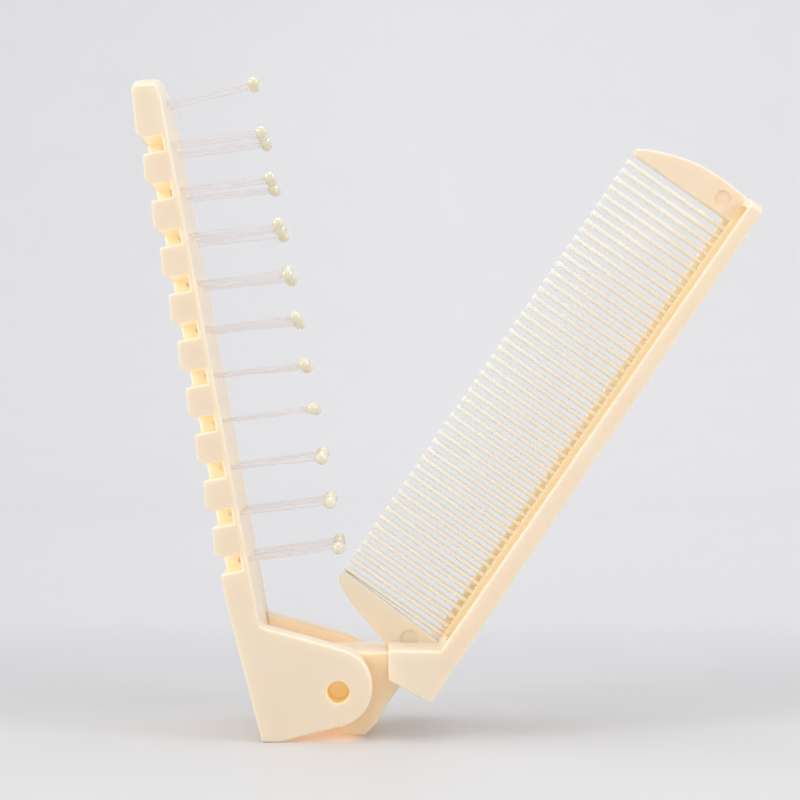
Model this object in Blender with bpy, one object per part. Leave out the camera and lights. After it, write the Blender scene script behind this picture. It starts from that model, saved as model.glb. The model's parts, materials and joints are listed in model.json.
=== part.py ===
"""Folding pocket comb: a fine-toothed comb and a bristle brush, hinged end to end.

It stands open in a V on its hinge end, as the photograph shows it. All sizes here are in
millimetres and become metres where a mesh is made. Each half is drawn upright in its own
plane: "out" is measured from the hinge axis towards the side the bristles point to, and
"up" along the half from the hinge axis. The world has X to the right, Y away and Z up, with
its origin in the middle of the flat foot.
"""

import math

import bmesh
import bpy

MM = 0.001

# The whole
WIDTH = 25.0  # along the hinge axis
HALF = WIDTH / 2
BRUSH_LEAN = math.radians(-10.5)  # the brush half leans to the left
COMB_LEAN = math.radians(34.8)  # the comb half leans to the right
PIVOT_X = 11.6  # hinge axis, from the middle of the foot
PIVOT_Z = 8.8
END_UP = 114.5  # both halves end here at mid width
END_DROP = 2.6  # how far the rounded end falls away towards the sides
SEAT_GAP = 0.3  # clearance between pieces that touch

# Brush half
PLATE_FRONT = -11.4  # face the bristles stand on
PLATE_BACK = -12.6
RIB_BACK = -16.8
RIB_SAW = 0.25  # each rib's lower back edge stands this much prouder than its upper one
SPINE_BACK = -16.3
SPINE_HALF = 2.2
NOTCHES = 10
NOTCH_FIRST = 25.5  # middle of the lowest notch
NOTCH_PITCH = 8.32
NOTCH_HALF = 1.4
NOTCH_ROUND = 0.3  # radius at the bottom of a notch
RIB_ROUND_LOW = 1.3  # radius of a rib's lower back edge
RIB_ROUND_HIGH = 0.5
PLATE_FILLET = 1.2  # radius where the plate meets the ears' top edge
KINK_UP = 19.4  # the back turns in towards the foot from here
KINK_OUT = -16.5
FOOT_HALF = 1.75
TOE_STEP = 2.1  # run of the slope from the foot up to the ears' underside
HEEL_UP = -6.56  # underside of the ears, next to the foot
NOSE_OUT = -0.78  # rounded nose of the ears
NOSE_UP = 0.91
NOSE_RADIUS = 6.95
NOSE_TURN = 64.0  # degrees, where the nose runs into the ears' straight top edge
EAR_INNER = 6.9
HOLE_RADIUS = 1.95
EDGE = 0.45  # bevel along the side edges

# Bristles: bent filaments with two ball-tipped legs, two in a row and one in the end row
ROWS = NOTCHES + 1
LEG_INNER = 3.6
LEG_OUTER = 8.6
FILAMENT = 0.35  # radius
BALL = 1.1  # radius
BALL_OUT = 4.5  # middle of the ball
LEG_END = (LEG_OUTER - LEG_INNER) / 2  # the end row's pair stands astride the middle
BEND = 0.9  # radius of the bend behind the plate
DROOP = 1.0  # the tips hang this much below their row, except in the end row

# Comb half
COVER_INNER = 10.7
COVER_OUTER_LOW = 14.6
COVER_OUTER_TOP = 13.2
CHANNEL_FLOOR = 12.3
CHANNEL_LOW = 18.0
WALL = 1.6
END_WALL = 1.3
BLADE_HALF = 1.1  # half the thickness of the toothed blade
TIP_OUT = -11.05
TEETH = 49
TOOTH_FIRST = 17.7
TOOTH_LAST = 107.9
TOOTH_ROOT = (0.52, 1.0)  # half sizes, up and across
TOOTH_TIP = (0.30, 0.5)
TONGUE_HALF = EAR_INNER - SEAT_GAP
BOSS_RADIUS = HOLE_RADIUS - SEAT_GAP
BOSS_REACH = EAR_INNER + 1.5
DIMPLES = ((7.3, 112.1), (6.0, 13.6))  # ejector marks on the guards, out and up
DIMPLE_RADIUS = 1.5
DIMPLE_DEPTH = 0.25


def clear_scene():
    for item in list(bpy.data.objects):
        bpy.data.objects.remove(item, do_unlink=True)


def plastic(name, colour, roughness):
    material = bpy.data.materials.new(name)
    material.use_nodes = True
    shader = material.node_tree.nodes["Principled BSDF"]
    shader.inputs["Base Color"].default_value = (*colour, 1.0)
    shader.inputs["Roughness"].default_value = roughness
    shader.inputs["Metallic"].default_value = 0.0
    return material


def floor_point(x, z, lean):
    """Turns a point given from the middle of the foot into a half's own (out, up)."""
    dx = x - PIVOT_X
    dz = z - PIVOT_Z
    return (dx * math.cos(lean) - dz * math.sin(lean), dx * math.sin(lean) + dz * math.cos(lean))


def arc(centre, radius, start, stop, steps):
    """Points on a circle from one angle to another, in degrees from the out direction."""
    points = []
    for i in range(steps + 1):
        angle = math.radians(start + (stop - start) * i / steps)
        points.append((centre[0] + radius * math.cos(angle), centre[1] + radius * math.sin(angle)))
    return points


def rounded(corners, steps=3):
    """Replaces each corner (out, up, radius) by an arc, where its radius isn't zero."""
    outline = []
    count = len(corners)
    for i, (x, z, radius) in enumerate(corners):
        if radius == 0:
            outline.append((x, z))
            continue
        before = corners[i - 1]
        after = corners[(i + 1) % count]
        to_before = math.atan2(before[1] - z, before[0] - x)
        to_after = math.atan2(after[1] - z, after[0] - x)
        half_angle = abs(math.remainder(to_after - to_before, math.tau)) / 2
        middle = to_before + math.remainder(to_after - to_before, math.tau) / 2
        reach = radius / math.sin(half_angle)
        centre = (x + reach * math.cos(middle), z + reach * math.sin(middle))
        sweep = math.remainder(to_after - to_before, math.tau)
        turn = math.copysign(math.pi - abs(sweep), sweep)
        start = to_before - math.copysign(math.pi / 2, sweep)
        for j in range(steps + 1):
            angle = start - turn * j / steps
            outline.append((centre[0] + radius * math.cos(angle), centre[1] + radius * math.sin(angle)))
    return outline


def place(obj, lean):
    """Stands a piece drawn in a half's own frame on the hinge axis."""
    obj.location = (PIVOT_X * MM, 0, PIVOT_Z * MM)
    obj.rotation_euler = (0, lean, 0)


def add_object(name, mesh_builder, lean, material=None):
    bmesh.ops.recalc_face_normals(mesh_builder, faces=mesh_builder.faces)
    mesh = bpy.data.meshes.new(name)
    mesh_builder.to_mesh(mesh)
    mesh_builder.free()
    obj = bpy.data.objects.new(name, mesh)
    bpy.context.scene.collection.objects.link(obj)
    place(obj, lean)
    if material:
        mesh.materials.append(material)
    return obj


def add_prism(build, outline, low, high, edge=0.0):
    """Adds a side outline pushed along the hinge axis, its side edges bevelled."""
    ring = [build.verts.new((x * MM, low * MM, z * MM)) for x, z in outline]
    face = build.faces.new(ring)
    pushed = bmesh.ops.extrude_face_region(build, geom=[face])["geom"]
    moved = [item for item in pushed if isinstance(item, bmesh.types.BMVert)]
    for vert in moved:
        vert.co.y = high * MM
    if edge:
        rim = [e for v in ring + moved for e in v.link_edges if e.verts[0].co.y == e.verts[1].co.y]
        bmesh.ops.bevel(
            build, geom=list(set(rim)), offset=edge * MM, segments=1, affect="EDGES", clamp_overlap=True
        )


def add_box(build, out_range, side_range, up_range):
    outline = [(out_range[i], up_range[j]) for i, j in ((0, 0), (1, 0), (1, 1), (0, 1))]
    add_prism(build, outline, side_range[0], side_range[1])


def add_rod(build, out, up, radius, low, high, sides):
    """Adds a round rod along the hinge axis."""
    add_prism(build, arc((out, up), radius, 0, 360, sides)[:-1], low, high)


def add_loft(build, sections):
    """Joins closed rings of points, first to last, and closes both ends."""
    rings = [[build.verts.new([c * MM for c in point]) for point in section] for section in sections]
    for one, two in zip(rings, rings[1:]):
        for i in range(len(one)):
            j = (i + 1) % len(one)
            build.faces.new((one[i], one[j], two[j], two[i]))
    build.faces.new(rings[0])
    build.faces.new(rings[-1])


def combine(target, tool, operation):
    modifier = target.modifiers.new(tool.name, "BOOLEAN")
    modifier.operation = operation
    modifier.solver = "EXACT"
    modifier.object = tool
    tool.hide_render = True
    tool.display_type = "WIRE"


def end_height(y):
    """Height of a half's rounded end, this far from the middle of its width."""
    radius = (HALF * HALF + END_DROP * END_DROP) / (2 * END_DROP)
    return END_UP - radius + math.sqrt(radius * radius - y * y)


def end_cutter(name, out_range, lean):
    """A block with a hollow round face, which leaves a half's end convex in plan."""
    steps = 16
    sides = [(HALF + 1) * (2 * i / steps - 1) for i in range(steps + 1)]
    section = [(y, end_height(y)) for y in sides]
    section += [(HALF + 2, END_UP + 4), (-HALF - 2, END_UP + 4)]
    build = bmesh.new()
    add_loft(build, [[(out, y, z) for y, z in section] for out in out_range])
    return add_object(name, build, lean)


def row_height(row):
    return NOTCH_FIRST + NOTCH_PITCH * row


def brush_outline():
    """Side outline of the brush half: foot, ears, plate, and the back with its ribs."""
    heel = floor_point(-FOOT_HALF, 0, BRUSH_LEAN)
    toe = floor_point(FOOT_HALF, 0, BRUSH_LEAN)
    top = END_UP + 1
    corners = [(*heel, 0), (*toe, 0), (toe[0] + TOE_STEP, HEEL_UP, 0)]
    nose = arc((NOSE_OUT, NOSE_UP), NOSE_RADIUS, -90, NOSE_TURN, 14)
    corners += [(x, z, 0) for x, z in nose]
    turn = math.radians(NOSE_TURN)
    run = (nose[-1][0] - PLATE_FRONT) / math.sin(turn)
    corners.append((PLATE_FRONT, nose[-1][1] + run * math.cos(turn), PLATE_FILLET))
    corners += [(PLATE_FRONT, top, 0), (RIB_BACK + 2 * RIB_SAW, top, 0)]
    for row in reversed(range(NOTCHES)):
        middle = row_height(row)
        corners.append((RIB_BACK - RIB_SAW, middle + NOTCH_HALF, RIB_ROUND_LOW))
        corners.append((PLATE_BACK, middle + NOTCH_HALF, NOTCH_ROUND))
        corners.append((PLATE_BACK, middle - NOTCH_HALF, NOTCH_ROUND))
        corners.append((RIB_BACK + RIB_SAW, middle - NOTCH_HALF, RIB_ROUND_HIGH))
    corners.append((KINK_OUT, KINK_UP, 0))
    return rounded(corners, 2)


def make_brush(material):
    build = bmesh.new()
    add_prism(build, brush_outline(), -HALF, HALF, EDGE)
    body = add_object("brush_body", build, BRUSH_LEAN, material)

    build = bmesh.new()
    low = row_height(0) - NOTCH_HALF - 1
    high = row_height(NOTCHES - 1) + NOTCH_HALF + 1
    add_box(build, (SPINE_BACK, PLATE_BACK + 0.5), (-SPINE_HALF, SPINE_HALF), (low, high))
    combine(body, add_object("tool_spine", build, BRUSH_LEAN), "UNION")

    build = bmesh.new()
    add_box(build, (PLATE_FRONT, HALF), (-EAR_INNER, EAR_INNER), (-2 * HALF, KINK_UP - 1))
    combine(body, add_object("tool_ear_gap", build, BRUSH_LEAN), "DIFFERENCE")

    build = bmesh.new()
    add_rod(build, 0, 0, HOLE_RADIUS, -HALF - 1, HALF + 1, 24)
    combine(body, add_object("tool_hinge_hole", build, BRUSH_LEAN), "DIFFERENCE")

    build = bmesh.new()
    hole = FILAMENT + SEAT_GAP
    for row in range(ROWS):
        legs = (-LEG_END, LEG_END) if row == ROWS - 1 else (-LEG_OUTER, -LEG_INNER, LEG_INNER, LEG_OUTER)
        for y in legs:
            ring = arc((y, row_height(row)), hole, 0, 360, 8)[:-1]
            ends = (PLATE_BACK - 0.5, PLATE_FRONT + 0.5)
            add_loft(build, [[(out, p[0], p[1]) for p in ring] for out in ends])
    combine(body, add_object("tool_bristle_holes", build, BRUSH_LEAN), "DIFFERENCE")

    build = bmesh.new()
    up = row_height(ROWS - 1)
    reach = LEG_END + hole
    add_box(build, (RIB_BACK - 2, PLATE_BACK), (-reach, reach), (up - hole - 0.3, up + hole + 0.3))
    combine(body, add_object("tool_end_pocket", build, BRUSH_LEAN), "DIFFERENCE")

    combine(body, end_cutter("tool_brush_end", (RIB_BACK - 2, PLATE_FRONT + 2), BRUSH_LEAN), "DIFFERENCE")
    return body


def filament_path(middle_y):
    """Middle line and radius of one bent filament, ball tip to ball tip."""
    back = PLATE_BACK - SEAT_GAP - FILAMENT
    neck = math.degrees(math.asin(FILAMENT / BALL))
    stations = []
    for degrees in (36, 72, 108, 144, 180 - neck):
        angle = math.radians(degrees)
        stations.append((LEG_END, BALL_OUT + BALL * math.cos(angle), 0.0, BALL * math.sin(angle)))
    for i in range(3):
        angle = math.pi / 4 * i
        y = LEG_END - BEND * (1 - math.cos(angle))
        stations.append((y, back + BEND * (1 - math.sin(angle)), angle, FILAMENT))
    mirrored = [(-y, out, math.pi - angle, radius) for y, out, angle, radius in reversed(stations)]
    return [(middle_y + y, out, angle, radius) for y, out, angle, radius in stations + mirrored]


def make_filament(name, row, middle_y, material):
    build = bmesh.new()
    sides = 8
    rooted = (PLATE_FRONT + PLATE_BACK) / 2
    droop = 0.0 if row == ROWS - 1 else DROOP / (BALL_OUT - rooted)
    rings = []
    for y, out, angle, radius in filament_path(middle_y):
        middle = row_height(row) - droop * (out - rooted)
        ring = []
        for i in range(sides):
            turn = math.tau * i / sides
            across = radius * math.cos(turn)
            up = middle + radius * math.sin(turn)
            ring.append((out - across * math.sin(angle), y + across * math.cos(angle), up))
        rings.append(ring)
    add_loft(build, rings)
    obj = add_object(name, build, BRUSH_LEAN, material)
    obj.data.shade_smooth()
    return obj


def cover_outline():
    """Side outline of the comb half's cover and the boot at its hinge end."""
    corners = [
        (3.07, 11.05, 0.4),
        (6.07, 6.8, 0.5),
        (COVER_OUTER_LOW, 7.5, 0.8),
        (COVER_OUTER_TOP, END_UP + 1, 0),
        (COVER_INNER, END_UP + 1, 0),
        (COVER_INNER, 16.1, 0.4),
    ]
    return rounded(corners, 3)


def tongue_outline():
    rest_low = floor_point(PIVOT_X + 3.0, 0, COMB_LEAN)
    rest_high = floor_point(PIVOT_X + 4.6, 0, COMB_LEAN)
    points = [(4.0, 10.2), (-1.6, 6.4)]
    points += arc((0, 0), 6.2, 135, 262, 9)
    points += [(5.2, -6.15), rest_low, rest_high, (9.3, -1.4), (9.0, 2.4), (9.0, 9.0)]
    return points


def low_guard_outline():
    return [
        (TIP_OUT, 16.0), (-10.5, 15.0), (-9.0, 14.2), (-6.5, 13.1), (-2.0, 11.8), (2.7, 10.5), (8.0, 9.0),
        (CHANNEL_FLOOR + 0.6, 10.0), (CHANNEL_FLOOR + 0.6, 16.3), (COVER_INNER + 0.3, 16.3), (-10.5, 17.1),
    ]


def high_guard_outline():
    return [
        (TIP_OUT, 110.2), (-10.5, 110.9), (-8.6, 112.0), (-5.8, 113.2), (-2.4, 114.3), (1.2, 115.0),
        (4.8, 115.2), (9.6, 115.1), (COVER_INNER + 0.3, 114.9), (COVER_INNER + 0.3, 114.2),
        (CHANNEL_FLOOR + 0.6, END_UP - 0.3), (CHANNEL_FLOOR + 0.6, 109.5), (-10.6, 109.5),
    ]


def tooth_section(out, half_up, half_across, up):
    """Six-sided section of a tooth: flat on its two faces, edged towards its neighbours."""
    flat = 0.5 * half_up
    return [
        (out, half_across, up + flat), (out, half_across, up - flat), (out, 0, up - half_up),
        (out, -half_across, up - flat), (out, -half_across, up + flat), (out, 0, up + half_up),
    ]


def make_comb(material):
    build = bmesh.new()
    add_prism(build, cover_outline(), -HALF, HALF, EDGE)
    body = add_object("comb_body", build, COMB_LEAN, material)

    build = bmesh.new()
    for side in (-1, 1):
        near, far = BLADE_HALF, HALF - WALL
        section = [(near, CHANNEL_LOW), (far, CHANNEL_LOW)]
        section += [(far, end_height(far) - END_WALL), (near, end_height(near) - END_WALL)]
        ends = (COVER_INNER - 1, CHANNEL_FLOOR)
        add_loft(build, [[(out, side * y, z) for y, z in section] for out in ends])
    combine(body, add_object("tool_channel", build, COMB_LEAN), "DIFFERENCE")
    combine(body, end_cutter("tool_comb_end", (COVER_INNER - 2, COVER_OUTER_LOW + 2), COMB_LEAN), "DIFFERENCE")

    build = bmesh.new()
    add_prism(build, tongue_outline(), -TONGUE_HALF, TONGUE_HALF)
    combine(body, add_object("tool_tongue", build, COMB_LEAN), "UNION")

    build = bmesh.new()
    add_rod(build, 0, 0, BOSS_RADIUS, -BOSS_REACH, BOSS_REACH, 20)
    combine(body, add_object("tool_boss", build, COMB_LEAN), "UNION")

    for name, outline in (("tool_low_guard", low_guard_outline()), ("tool_high_guard", high_guard_outline())):
        build = bmesh.new()
        add_prism(build, outline, -BLADE_HALF, BLADE_HALF, 0.3)
        combine(body, add_object(name, build, COMB_LEAN), "UNION")

    build = bmesh.new()
    pitch = (TOOTH_LAST - TOOTH_FIRST) / (TEETH - 1)
    for i in range(TEETH):
        up = TOOTH_FIRST + pitch * i
        sections = [
            tooth_section(COVER_INNER + 0.6, *TOOTH_ROOT, up),
            tooth_section(TIP_OUT + 1.0, *TOOTH_TIP, up),
            tooth_section(TIP_OUT, 0.5 * TOOTH_TIP[0], 0.4 * TOOTH_TIP[1], up),
        ]
        add_loft(build, sections)
    combine(body, add_object("tool_teeth", build, COMB_LEAN), "UNION")

    build = bmesh.new()
    for out, up in DIMPLES:
        for side in (-1, 1):
            ends = sorted((side * (BLADE_HALF - DIMPLE_DEPTH), side * (BLADE_HALF + 1)))
            add_rod(build, out, up, DIMPLE_RADIUS, ends[0], ends[1], 16)
    combine(body, add_object("tool_dimples", build, COMB_LEAN), "DIFFERENCE")
    return body


def main():
    clear_scene()
    ivory = plastic("ivory_plastic", (0.88, 0.70, 0.49), 0.38)
    nylon = plastic("clear_nylon", (0.83, 0.77, 0.55), 0.15)
    make_brush(ivory)
    middle_y = (LEG_INNER + LEG_OUTER) / 2
    for row in range(ROWS - 1):
        make_filament(f"bristle_{row + 1:02d}_front", row, -middle_y, nylon)
        make_filament(f"bristle_{row + 1:02d}_back", row, middle_y, nylon)
    make_filament(f"bristle_{ROWS:02d}_end", ROWS - 1, 0.0, nylon)
    make_comb(ivory)


main()
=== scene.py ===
import json
import math
import random

import bmesh
import bpy
from mathutils import Matrix, Vector


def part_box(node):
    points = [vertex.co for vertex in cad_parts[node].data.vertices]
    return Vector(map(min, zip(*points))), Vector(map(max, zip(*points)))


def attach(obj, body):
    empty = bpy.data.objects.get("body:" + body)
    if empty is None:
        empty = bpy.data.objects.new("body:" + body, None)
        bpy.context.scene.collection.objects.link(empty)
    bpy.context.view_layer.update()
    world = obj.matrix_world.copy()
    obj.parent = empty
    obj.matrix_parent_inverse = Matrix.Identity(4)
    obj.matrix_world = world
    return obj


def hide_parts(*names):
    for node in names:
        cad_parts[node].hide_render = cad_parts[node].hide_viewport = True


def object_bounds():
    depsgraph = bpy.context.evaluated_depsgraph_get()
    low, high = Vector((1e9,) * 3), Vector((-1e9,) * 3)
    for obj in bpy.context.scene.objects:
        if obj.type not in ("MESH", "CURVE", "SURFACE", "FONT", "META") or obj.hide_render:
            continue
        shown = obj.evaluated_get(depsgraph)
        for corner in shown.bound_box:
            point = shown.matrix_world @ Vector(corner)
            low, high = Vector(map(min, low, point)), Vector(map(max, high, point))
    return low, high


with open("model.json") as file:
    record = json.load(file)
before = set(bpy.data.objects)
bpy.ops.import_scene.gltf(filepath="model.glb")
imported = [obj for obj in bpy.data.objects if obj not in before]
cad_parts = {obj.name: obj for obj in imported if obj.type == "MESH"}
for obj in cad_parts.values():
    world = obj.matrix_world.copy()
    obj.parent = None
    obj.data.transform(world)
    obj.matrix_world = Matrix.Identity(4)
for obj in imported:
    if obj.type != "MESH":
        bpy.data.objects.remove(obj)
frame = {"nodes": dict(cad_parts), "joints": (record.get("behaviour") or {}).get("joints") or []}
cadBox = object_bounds()

mm = 0.001
touch = 0.001  # points closer than this, in millimetres, are taken as one
creaseAngle = 32  # degrees; softer corners than this are shaded smooth
hinge = Vector(frame["joints"][0]["pos_m"])
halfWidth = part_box("brush_body")[1].y / mm
halfLean = {"brush": -10.5, "comb": 34.8}  # degrees from upright, as the two halves stand
print("frame loaded,", len(frame["nodes"]), "nodes")


# Each half is drawn upright, in millimetres from the hinge axis: x out towards the side that the
# bristles point to, y along the hinge axis, z up along the half. placeHalf() then stands it up.
def placeHalf(obj, half):
    turn = Matrix.Rotation(math.radians(halfLean[half]), 4, "Y")
    obj.data.transform(Matrix.Translation(hinge) @ turn @ Matrix.Scale(mm, 4))
    obj.data.update()


def floorPoint(x, z, half):
    lean = math.radians(halfLean[half])
    dx, dz = x - hinge.x / mm, z - hinge.z / mm
    return (dx * math.cos(lean) - dz * math.sin(lean), dx * math.sin(lean) + dz * math.cos(lean))


# Outlines, seen along the hinge axis
def arcPoints(centre, radius, start, stop, steps):
    points = []
    for i in range(steps + 1):
        angle = math.radians(start + (stop - start) * i / steps)
        points.append((centre[0] + radius * math.cos(angle), centre[1] + radius * math.sin(angle)))
    return points


def roundCorners(corners, steps=6):  # corners are (x, z, radius)
    outline = []
    for i, (x, z, radius) in enumerate(corners):
        if radius == 0:
            outline.append((x, z))
            continue
        before, after = corners[i - 1], corners[(i + 1) % len(corners)]
        toBefore = math.atan2(before[1] - z, before[0] - x)
        sweep = math.remainder(math.atan2(after[1] - z, after[0] - x) - toBefore, math.tau)
        reach = radius / math.sin(abs(sweep) / 2)
        middle = toBefore + sweep / 2
        centre = (x + reach * math.cos(middle), z + reach * math.sin(middle))
        start = math.degrees(toBefore - math.copysign(math.pi / 2, sweep))
        turn = math.degrees(math.copysign(math.pi - abs(sweep), sweep))
        outline += arcPoints(centre, radius, start, start - turn, steps)
    return outline


def insetCorners(corners, depth):  # corners run anticlockwise, and move in by depth all round
    moved = []
    for i, (x, z, radius) in enumerate(corners):
        before = Vector((x, z)) - Vector(corners[i - 1][:2])
        after = Vector(corners[(i + 1) % len(corners)][:2]) - Vector((x, z))
        one, two = (Vector((-run.y, run.x)).normalized() for run in (before, after))
        shift = (one + two) * depth / (1 + one.dot(two))
        bend = math.copysign(depth, before.cross(after))
        moved.append((x + shift.x, z + shift.y, max(radius - bend, 0.03) if radius else 0))
    return moved


def curveValue(t, before, start, stop, after):  # from start at t = 0 to stop at t = 1
    square = 2 * before - 5 * start + 4 * stop - after
    cube = 3 * start - before - 3 * stop + after
    return 0.5 * (2 * start + (stop - before) * t + square * t * t + cube * t ** 3)


def smoothRun(points, steps=4):  # a smooth curve through the points, ends included
    padded = [points[0], *points, points[-1]]
    run = []
    for four in zip(padded, padded[1:], padded[2:], padded[3:]):
        for i in range(steps):
            run.append(tuple(curveValue(i / steps, *values) for values in zip(*four)))
    return run + [tuple(points[-1])]


# Solids
def addPrism(build, outline, low, high):
    ring = [build.verts.new((x, low, z)) for x, z in outline]
    pushed = bmesh.ops.extrude_face_region(build, geom=[build.faces.new(ring)])["geom"]
    for item in pushed:
        if isinstance(item, bmesh.types.BMVert):
            item.co.y = high


def addBlock(build, outRange, sideRange, upRange, edge=0.0):
    corners = [(outRange[i], upRange[j]) for i, j in ((0, 0), (1, 0), (1, 1), (0, 1))]
    before = set(build.edges)
    addPrism(build, corners, *sideRange)
    if edge:
        fresh = [e for e in build.edges if e not in before]
        bmesh.ops.bevel(build, geom=fresh, offset=edge, segments=3, profile=0.5, affect="EDGES")


def addRod(build, place, radius, low, high, sides=48):
    addPrism(build, arcPoints(place, radius, 0, 360, sides)[:-1], low, high)


def addLoft(build, sections):
    rings = [[build.verts.new(point) for point in section] for section in sections]
    for one, two in zip(rings, rings[1:]):
        for i in range(len(one)):
            j = (i + 1) % len(one)
            build.faces.new((one[i], one[j], two[j], two[i]))
    build.faces.new(rings[0])
    build.faces.new(rings[-1])


def makeShape(name, build):
    bmesh.ops.recalc_face_normals(build, faces=build.faces)
    mesh = bpy.data.meshes.new(name)
    build.to_mesh(mesh)
    build.free()
    obj = bpy.data.objects.new(name, mesh)
    bpy.context.scene.collection.objects.link(obj)
    return obj


def freeze(obj):  # the modifiers' result becomes the object's own plain mesh
    seen = obj.evaluated_get(bpy.context.evaluated_depsgraph_get())
    plain = bpy.data.meshes.new_from_object(seen)
    obj.modifiers.clear()
    obj.data = plain
    plain.name = obj.name


def carve(obj, tool, operation):
    step = obj.modifiers.new(tool.name, "BOOLEAN")
    step.operation = operation
    step.solver = "EXACT"
    step.object = tool
    freeze(obj)
    bpy.data.objects.remove(tool)


def aroundFace(p, q):  # picks the edges round a side face, and not those along the width
    return abs(p.y - q.y) < touch


def softenEdges(obj, radius, steps, chosen):  # rounds the sharp edges that chosen(p, q) picks
    build = bmesh.new()
    build.from_mesh(obj.data)
    bmesh.ops.remove_doubles(build, verts=build.verts, dist=0.0005)
    edges = []
    for edge in build.edges:
        sharp = edge.is_manifold and edge.calc_face_angle(0) > math.radians(25)
        if sharp and chosen(edge.verts[0].co, edge.verts[1].co):
            edges.append(edge)
    bmesh.ops.bevel(
        build, geom=edges, offset=radius, segments=steps, profile=0.5, affect="EDGES", clamp_overlap=False,
    )
    build.to_mesh(obj.data)
    build.free()
    print("  softened", len(edges), "edges of", obj.name)


def reportSize(obj):
    print(" ", obj.name, sum(len(p.vertices) - 2 for p in obj.data.polygons), "triangles")


def finishShape(obj, half, body):
    bpy.context.view_layer.update()
    obj.data.shade_smooth()
    obj.data.set_sharp_from_angle(angle=math.radians(creaseAngle))
    flatten = obj.modifiers.new("flat faces stay flat", "WEIGHTED_NORMAL")
    flatten.keep_sharp = True
    freeze(obj)
    placeHalf(obj, half)
    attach(obj, body)
    reportSize(obj)


# Node trees: feeds holds values or sockets, by the input's name or number
def put(tree, kind, feeds=None, **settings):
    node = tree.nodes.new(kind)
    node.location = (220 * len(tree.nodes), 0)
    for key, value in settings.items():
        setattr(node, key, value)
    for key, value in (feeds or {}).items():
        if isinstance(value, bpy.types.NodeSocket):
            tree.links.new(value, node.inputs[key])
        else:
            node.inputs[key].default_value = value
    return node


def product(tree, one, two):
    return put(tree, "ShaderNodeMath", {0: one, 1: two}, operation="MULTIPLY").outputs[0]


def startTree(name, inputs):
    tree = bpy.data.node_groups.new(name, "GeometryNodeTree")
    tree.is_modifier = True
    tree.interface.new_socket("Geometry", in_out="OUTPUT", socket_type="NodeSocketGeometry")
    tree.interface.new_socket("Geometry", in_out="INPUT", socket_type="NodeSocketGeometry")
    for label, kind in inputs.items():
        tree.interface.new_socket(label, in_out="INPUT", socket_type="NodeSocket" + kind)
    return tree, tree.nodes.new("NodeGroupInput").outputs


def endTree(tree, result, material):
    real = put(tree, "GeometryNodeRealizeInstances", {"Geometry": result})
    dressed = put(tree, "GeometryNodeSetMaterial", {"Geometry": real.outputs[0], "Material": material})
    put(tree, "NodeGroupOutput", {"Geometry": dressed.outputs[0]})


def runTree(obj, tree, values):
    step = obj.modifiers.new(tree.name, "NODES")
    step.node_group = tree
    for item in tree.interface.items_tree:
        if item.in_out == "INPUT" and item.name in values:
            step[item.identifier] = values[item.name]
    freeze(obj)


# Materials
ivoryFinish = {
    "colour": (0.925, 0.79, 0.62),
    "pale": (0.95, 0.84, 0.70),
    "deep": (0.90, 0.73, 0.53),
    "roughness": 0.36,
    "ior": 1.46,
    "glow": 1.0,  # how much light passes under the surface
    "glowDepth": 0.0015,
    "glowTint": (1.0, 0.85, 0.68),
    "grain": 0.00035,  # size of the mould's fine grain
    "grainDepth": 0.000012,
    "grainStrength": 0.6,
}
paintedLightAndShade = {  # painted light and shade where the plastic is thin or hollow: a paler or more orange colour there, and a painted glow for the light that comes through
    # teeth and guard: paler, painted light passing through the thin plastic
    "teeth": (0.97, 0.90, 0.79),
    "guard": (0.925, 0.835, 0.69),
    # notch: painted brighter colour and glow inside the notches
    "notch": (0.99, 0.88, 0.68),
    "notchGlow": (0.20, 0.115, 0.055),
    # bore: painted orange colour and glow in the hinge hole
    "bore": (0.98, 0.76, 0.45),
    "boreGlow": (0.115, 0.09, 0.042),
    # root: painted orange shade and glow where the teeth meet the channel
    "root": (0.97, 0.80, 0.56),
    "rootGlow": (0.035, 0.014, 0.0),
    # gap and tongue: painted glow in the ear gap and on the tongue
    "gapGlow": (0.155, 0.118, 0.078),
    "tongueGlow": (0.12, 0.055, 0.0),
}
paintedLightPlaces = {  # where that painted light and shade goes, out from and up from the hinge, and how soft it ends, in millimetres
    "guardOut": (-20, 10),
    "guardUp": (8.5, 17.1),
    "guardBlur": 0.4,
    "rootUp": (9.0, 113.0),
    "rootBlur": 0.45,
    "toothOut": -20,
    "toothUp": (17.13, 109.2),  # the toothed stretch
    "tongueReach": 10.0,
    "tongueBlur": 2.5,
    "gapOut": 10,
    "gapUp": (-9, 18),
    "boreMargin": 0.08,
    "boreBlur": 0.06,
}
mouldMarks = {  # scales are in waves per metre, shares are the most that a mark reaches
    "mottleScale": 90.0,
    "mottleShare": 0.45,
    "flowScale": 60.0,
    "flowStretch": 6.0,
    "flowShare": 0.35,
    "flowRoughness": (-0.04, 0.05),
}
nylonFinish = {
    "colour": (0.985, 0.95, 0.94),
    "roughness": 0.36,
    "clear": 0.85,
    "ior": 1.09,
    "streakScale": 900.0,
    "streakRange": (0.6, 1.6),  # times the roughness
}
tipFinish = {
    "colour": (0.93, 0.86, 0.60),
    "pale": (0.97, 0.93, 0.76),
    "cloudScale": 500.0,
    "roughness": 0.06,
    "clear": 0.15,
    "glow": 0.4,
    "glowDepth": 0.0012,
    "gloss": 2.0,
}


def mixed(tree, mask, one, two):  # colour one where the mask is 0, colour two where it is 1
    one, two = (c if isinstance(c, bpy.types.NodeSocket) else (*c, 1) for c in (one, two))
    return put(tree, "ShaderNodeMix", {"Factor": mask, 6: one, 7: two}, data_type="RGBA").outputs[2]


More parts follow.
